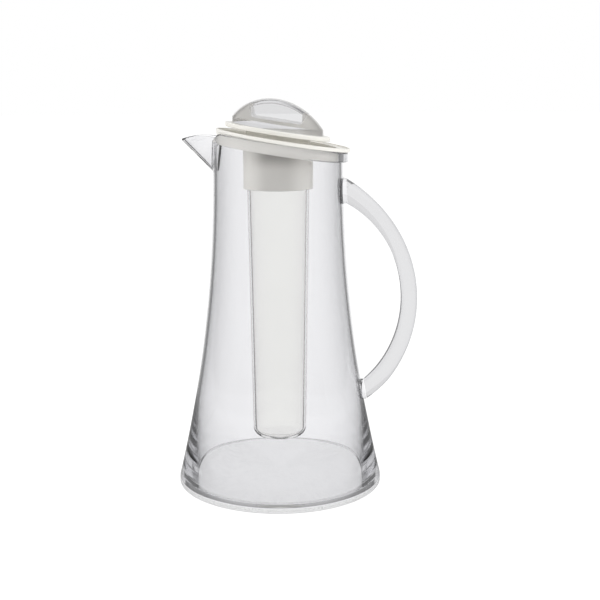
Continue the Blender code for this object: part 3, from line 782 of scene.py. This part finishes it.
class PITCHER_OT_lid(bpy.types.Operator):
    """Makes the lid: flange, plug, tray, hub and the threaded collar"""

    bl_idname = "pitcher.lid"
    bl_label = "Lid"

    def execute(self, context):
        settings = context.scene.pitcher
        lid, tube = settings.lid, settings.tube
        edge, corner = lid.edge, lid.corner
        tray = lid.tray_floor - lid.plug_depth
        wall = lid.plug_radius - lid.plug_wall
        lip = lid.flange_radius - lid.lip_width
        mesh = outline([
            (lid.flange_radius, lid.lip_height, edge),
            (lid.flange_radius, 0, edge),
            (lid.plug_radius, 0, 0),
            (lid.plug_radius, -lid.plug_depth, edge),
            (lid.collar_radius, -lid.plug_depth, corner),
            (lid.collar_radius, -lid.collar_drop, edge),
            (lid.collar_bore, -lid.collar_drop, edge),
            (lid.collar_bore, -lid.seat_drop, 0),
            (lid.hub_bore, -lid.seat_drop, 0),
            (lid.hub_bore, lid.hub_rise, edge),
            (lid.hub_radius, lid.hub_rise, edge),
            (lid.hub_radius, tray, corner),
            (wall, tray, corner),
            (wall, lid.flange_thickness, edge / 2),
            (lip, lid.flange_thickness, edge / 2),
            (lip, lid.lip_height, edge / 2),
        ])
        divide(mesh, spacing=0.0008, low=-lid.collar_drop, high=-lid.seat_drop)
        revolve(mesh, lid.segments)
        margin = 0.001
        low = -lid.collar_drop + margin + lid.height
        high = -lid.seat_drop - margin + lid.height
        slanted = -lid.plug_depth - corner

        def place(point):
            radius = math.hypot(point.x, point.y)
            if abs(radius - lid.collar_bore) < MERGE:
                groove, _ = thread_at(tube, point, point.z + lid.height, low, high)
                point = point.copy()
                point.xy *= (radius + 0.5 * tube.thread_depth * groove) / radius
            return slant_place(settings, point, -lid.seat_drop, slanted, eccentric=True)

        reshape(mesh, place)
        made = as_object(mesh, "lid_shell")
        finish(made, "lid", "lid", "white_plastic", polypropylene(settings.finish))
        return {"FINISHED"}


class PITCHER_OT_stopper(bpy.types.Operator):
    """Makes the stopper's disc with the skirt that plugs the hub"""

    bl_idname = "pitcher.stopper"
    bl_label = "Stopper disc"

    def execute(self, context):
        settings = context.scene.pitcher
        lid = settings.lid
        inside = lid.skirt_radius - lid.skirt_wall
        mesh = outline([
            (0, lid.disc_top, 0),
            (lid.disc_radius, lid.disc_top, lid.edge * 1.6),
            (lid.disc_radius, lid.disc_bottom, lid.edge),
            (lid.skirt_radius, lid.disc_bottom, 0),
            (lid.skirt_radius, lid.skirt_rise, lid.edge),
            (inside, lid.skirt_rise, lid.edge / 2),
            (inside, lid.skirt_ceiling, 0),
            (0, lid.skirt_ceiling, 0),
        ], closed=False)
        revolve(mesh, lid.segments)
        level = lid.skirt_rise + lid.edge
        reshape(mesh, lambda point: slant_place(settings, point, level, lid.disc_bottom))
        made = as_object(mesh, "stopper_plate")
        finish(made, "stopper", "stopper_disc", "white_plastic", polypropylene(settings.finish))
        return {"FINISHED"}


class PITCHER_OT_knob(bpy.types.Operator):
    """Makes the clear knob with its two finger pockets"""

    bl_idname = "pitcher.knob"
    bl_label = "Knob"

    def arc(self, mesh, steps, radius, centre, half_angle, full):
        """A dome line in the XZ plane, over one side or both."""
        start = half_angle if full else 0
        top = mesh.verts.new((radius * math.sin(start), 0, centre + radius * math.cos(start)))
        sweep = -2 * half_angle if full else half_angle
        swept = bmesh.ops.spin(
            mesh, geom=[top], cent=(0, 0, centre), axis=(0, 1, 0), angle=sweep, steps=steps
        )
        last = [item for item in swept["geom_last"] if isinstance(item, bmesh.types.BMVert)][0]
        return top, last

    def pocket(self, knob, radius, centre, side):
        """A D-shaped plug: a flat floor with rounded corners under an arched roof."""
        mesh = bmesh.new()
        roof = radius - knob.pocket_roof
        half_angle = math.asin(knob.pocket_half_width / roof)
        right, left = self.arc(mesh, knob.steps, roof, centre, half_angle, True)
        floor = knob.bottom + knob.foot + knob.pocket_floor
        low_left = mesh.verts.new((-knob.pocket_half_width, 0, floor))
        low_right = mesh.verts.new((knob.pocket_half_width, 0, floor))
        for pair in ((left, low_left), (low_left, low_right), (low_right, right)):
            mesh.edges.new(pair)
        round_corners(mesh, [low_left, low_right], knob.pocket_corner, steps=6)
        bmesh.ops.contextual_create(mesh, geom=mesh.edges[:])
        far = bmesh.ops.extrude_face_region(mesh, geom=mesh.faces[:])["geom"]
        far = [item for item in far if isinstance(item, bmesh.types.BMVert)]
        near = [vert for vert in mesh.verts if vert not in far]
        bmesh.ops.translate(mesh, verts=near, vec=(0, side * knob.web / 2, 0))
        bmesh.ops.translate(mesh, verts=far, vec=(0, side * knob.radius * 1.3, 0))
        bmesh.ops.recalc_face_normals(mesh, faces=mesh.faces)
        return as_object(mesh, "pocket")

    def execute(self, context):
        settings = context.scene.pitcher
        knob = settings.knob
        base = knob.bottom + knob.foot
        radius = (knob.radius**2 + knob.dome**2) / (2 * knob.dome)
        centre = base + knob.dome - radius
        mesh = bmesh.new()
        half_angle = math.asin(knob.radius / radius)
        _, shoulder = self.arc(mesh, knob.steps, radius, centre, half_angle, False)
        foot = mesh.verts.new((knob.radius, 0, knob.bottom))
        middle = mesh.verts.new((0, 0, knob.bottom))
        mesh.edges.new((shoulder, foot))
        mesh.edges.new((foot, middle))
        round_corners(mesh, [foot], knob.edge, steps=2)
        made = as_object(revolve(mesh, knob.segments), "clear_knob")
        for side in (-1, 1):
            combine(made, self.pocket(knob, radius, centre, side), "DIFFERENCE")
        for vert in made.data.vertices:
            vert.co = slant_place(settings, vert.co, -1, 0)
        finish(made, "stopper", "knob", "clear_knob", cast_acrylic(settings.finish))
        return {"FINISHED"}


class PITCHER_OT_tube(bpy.types.Operator):
    """Makes the ice tube with the thread on its neck"""

    bl_idname = "pitcher.tube"
    bl_label = "Ice tube"

    def execute(self, context):
        settings = context.scene.pitcher
        tube = settings.tube
        slope = (tube.mouth_radius - tube.tip_radius) / (tube.taper_top - tube.bottom)
        side = tube.tip_radius + slope * tube.corner
        mesh = outline([
            (0, tube.bottom, 0),
            (side, tube.bottom, tube.corner),
            (tube.mouth_radius, tube.taper_top, 0),
            (tube.mouth_radius, tube.top, tube.edge),
            (tube.mouth_radius - tube.wall, tube.top, tube.edge / 2),
            (tube.mouth_radius - tube.wall, tube.taper_top, 0),
            (side - tube.wall, tube.bottom + tube.wall, tube.corner - tube.wall),
            (0, tube.bottom + tube.wall, 0),
        ], closed=False)
        divide(mesh, spacing=0.0006, low=tube.taper_top)
        divide(mesh, spacing=0.012, high=tube.taper_top)
        revolve(mesh, tube.segments)
        margin = 0.002
        low, high = tube.taper_top + margin, tube.top - margin

        def thread(point):
            radius = math.hypot(point.x, point.y)
            if abs(radius - tube.mouth_radius) < MERGE and low <= point.z <= high:
                ridge, run_in = thread_at(tube, point, point.z, low, high)
                radius -= tube.thread_depth * (run_in - ridge)
                point = point.copy()
                point.xy *= radius / tube.mouth_radius
            return point

        made = as_object(reshape(mesh, thread), "ice_tube_shell")
        finish(made, "ice_tube", "ice_tube", "clear_tube", styrene(settings.finish))
        return {"FINISHED"}


class PITCHER_OT_washer(bpy.types.Operator):
    """Gives the washer on the tube's mouth its silicone"""

    bl_idname = "pitcher.washer"
    bl_label = "Washer"

    def execute(self, context):
        settings = context.scene.pitcher
        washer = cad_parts["tube_washer"]
        washer.data.materials.clear()
        washer.data.materials.append(moulded_silicone("moulded_silicone", settings.finish.silicone))
        return {"FINISHED"}


class PITCHER_OT_stage(bpy.types.Operator):
    """Sets the floor, the studio's light, the softboxes and the camera"""

    bl_idname = "pitcher.stage"
    bl_label = "Stage"

    def floor(self, settings):
        """A matt floor that looks white to the camera and keeps the object's shadow."""
        mesh = bmesh.new()
        bmesh.ops.create_circle(mesh, cap_ends=True, segments=96, radius=settings.stage.floor_radius)
        made = as_object(mesh, "studio_floor")
        material, tree, shader = new_material("matt_paper")
        tint = (*settings.finish.floor, 1)
        fill(tree, shader, {"Base Color": tint, "Roughness": 0.9, "Specular IOR Level": 0})
        # What the camera and mirrors see glows, and a weak matt layer in it takes the shadow.
        dim = add(tree, "ShaderNodeBsdfDiffuse", {"Color": (0.1, 0.1, 0.1, 1)})
        place = add(tree, "ShaderNodeTexCoord").outputs["Object"]
        way = add(tree, "ShaderNodeVectorMath", (place,), operation="NORMALIZE")
        shown, level, _ = self.studio(tree, settings.stage, way)
        glow = add(tree, "ShaderNodeEmission", {"Color": WHITE, "Strength": level})
        bright = add(tree, "ShaderNodeAddShader", (dim, glow))
        surface = add(tree, "ShaderNodeMixShader", (shown, shader, bright))
        fill(tree, tree.nodes["Material Output"], {"Surface": surface})
        made.data.materials.append(material)

    def studio(self, tree, stage, way):
        """Whether a ray shows the set rather than its light, and how bright the set shows.

        The camera sees white, also straight through the clear plastic. What is mirrored on the way
        shows the room round the set: grey in front, dark behind, and bright straight behind, where
        the backdrop is, and overhead.
        """
        path = add(tree, "ShaderNodeLightPath").outputs
        sent = path["Is Glossy Ray"]
        for ray in ("Is Transmission Ray", "Is Camera Ray"):
            sent = add(tree, "ShaderNodeMath", (sent, path[ray]), operation="MAXIMUM")
        shown = add(tree, "ShaderNodeMath", (path["Diffuse Depth"], sent), operation="LESS_THAN")
        mirrored = add(tree, "ShaderNodeMath", (path["Glossy Depth"], 1.0), operation="MINIMUM")
        axes = add(tree, "ShaderNodeSeparateXYZ", (way,)).outputs
        front, behind, eaves, roof = -0.3, 0.45, 0.35, 0.65
        around, overhead, backdrop = (
            add(tree, "ShaderNodeMapRange", ramp, interpolation_type="SMOOTHSTEP")
            for ramp in (
                (axes["Y"], front, behind, stage.room, stage.room_behind),
                (axes["Z"], eaves, roof, 0.0, 1.0),
                (axes["Y"], stage.backdrop_edge, stage.backdrop, 0.0, 1.0),
            )
        )
        bright = add(tree, "ShaderNodeMath", (overhead, backdrop), operation="MAXIMUM")
        room = add(tree, "ShaderNodeMix", {"Factor": bright, "A": around, "B": stage.ceiling})
        level = add(tree, "ShaderNodeMix", {"Factor": mirrored, "A": 1.0, "B": room})
        return shown, level, axes

    def world(self, settings):
        """A white studio to the camera, whose weaker light of its own is strongest at the sides."""
        world = bpy.data.worlds.new("studio")
        bpy.context.scene.world = world
        world.use_nodes = True
        tree = world.node_tree
        stage = settings.stage
        way = add(tree, "ShaderNodeTexCoord").outputs["Generated"]
        shown, level, axes = self.studio(tree, stage, way)
        across = add(tree, "ShaderNodeMath", (axes["X"],), operation="ABSOLUTE")
        horizon, zenith, side_edge, side = 0.0, 0.7, 0.3, 0.95
        light = stage.ambient
        for value, start, end, target in (
            (axes["Z"], horizon, zenith, stage.high_light),
            (across, side_edge, side, stage.side_light),
        ):
            ramp = (value, start, end, light, target)
            light = add(tree, "ShaderNodeMapRange", ramp, interpolation_type="SMOOTHSTEP")
        strength = add(tree, "ShaderNodeMix", {"Factor": shown, "A": light, "B": level})
        fill(tree, tree.nodes["Background"], {"Color": WHITE, "Strength": strength})

    def softbox(self, name, place, target, size, power):
        data = bpy.data.lights.new(name, "AREA")
        data.shape = "RECTANGLE"
        data.size, data.size_y = size
        data.energy = power
        made = bpy.data.objects.new(name, data)
        bpy.context.scene.collection.objects.link(made)
        made.visible_transmission = False
        made.visible_glossy = False
        made.location = place
        made.rotation_euler = (Vector(target) - Vector(place)).to_track_quat("-Z", "Y").to_euler()

    def camera(self, stage):
        data = bpy.data.cameras.new("camera")
        data.sensor_width = 36
        data.lens = stage.lens
        data.shift_x = stage.shift
        made = bpy.data.objects.new("camera", data)
        bpy.context.scene.collection.objects.link(made)
        x, y = math.sin(stage.azimuth), -math.cos(stage.azimuth)
        place = Matrix.Translation((x * stage.distance, y * stage.distance, stage.height))
        look = Matrix.Rotation(stage.azimuth, 4, "Z")
        look = look @ Matrix.Rotation(math.pi / 2 - stage.pitch, 4, "X")
        made.matrix_world = place @ look @ Matrix.Rotation(stage.roll, 4, "Z")
        bpy.context.scene.camera = made

    def execute(self, context):
        settings = context.scene.pitcher
        stage = settings.stage
        self.floor(settings)
        self.world(settings)
        middle = (0, 0, 0.14)
        side_size, top_size = (1.2, 1.4), (0.8, 0.8)
        for side, name in ((-1, "left_softbox"), (1, "right_softbox")):
            self.softbox(name, (side * 1.15, -0.2, 0.5), middle, side_size, stage.softbox)
        self.softbox("top_softbox", (0, 0.25, 1.2), middle, top_size, stage.toplight)
        self.camera(stage)
        context.scene.view_settings.view_transform = "Standard"
        # Light is mirrored many times inside thick clear plastic, and fewer steps would lose it.
        # The gloss filter would dim the pieces that are lit through it.
        cycles = context.scene.cycles
        cycles.blur_glossy = 0
        cycles.max_bounces = cycles.transmission_bounces = cycles.glossy_bounces = 24
        return {"FINISHED"}


class PITCHER_PT_panel(bpy.types.Panel):
    """Lists the pieces and the stage in the sidebar"""

    bl_label = "Pitcher"
    bl_idname = "PITCHER_PT_panel"
    bl_space_type = "VIEW_3D"
    bl_region_type = "UI"
    bl_category = "Pitcher"

    def draw(self, context):
        settings = context.scene.pitcher
        for operator in OPERATORS:
            self.layout.operator(operator.bl_idname)
        for name in PitcherSettings.__annotations__:
            group = getattr(settings, name)
            box = self.layout.box()
            box.label(text=name.capitalize())
            for field in type(group).__annotations__:
                box.prop(group, field)


GROUPS = (
    BodySizes, SpoutSizes, HandleSizes, LidSizes, KnobSizes, TubeSizes, Finishes, StageSizes,
    PitcherSettings,
)
OPERATORS = (
    PITCHER_OT_stage, PITCHER_OT_body, PITCHER_OT_base, PITCHER_OT_handle, PITCHER_OT_lid,
    PITCHER_OT_stopper, PITCHER_OT_knob, PITCHER_OT_tube, PITCHER_OT_washer,
)


def register():
    for made in (*GROUPS, *OPERATORS, PITCHER_PT_panel):
        bpy.utils.register_class(made)
    bpy.types.Scene.pitcher = PointerProperty(type=PitcherSettings)


def unregister():
    del bpy.types.Scene.pitcher
    for made in reversed((*GROUPS, *OPERATORS, PITCHER_PT_panel)):
        bpy.utils.unregister_class(made)


def main():
    register()
    for operator in OPERATORS:
        group, name = operator.bl_idname.split(".")
        getattr(getattr(bpy.ops, group), name)()


if __name__ == "__main__":
    main()
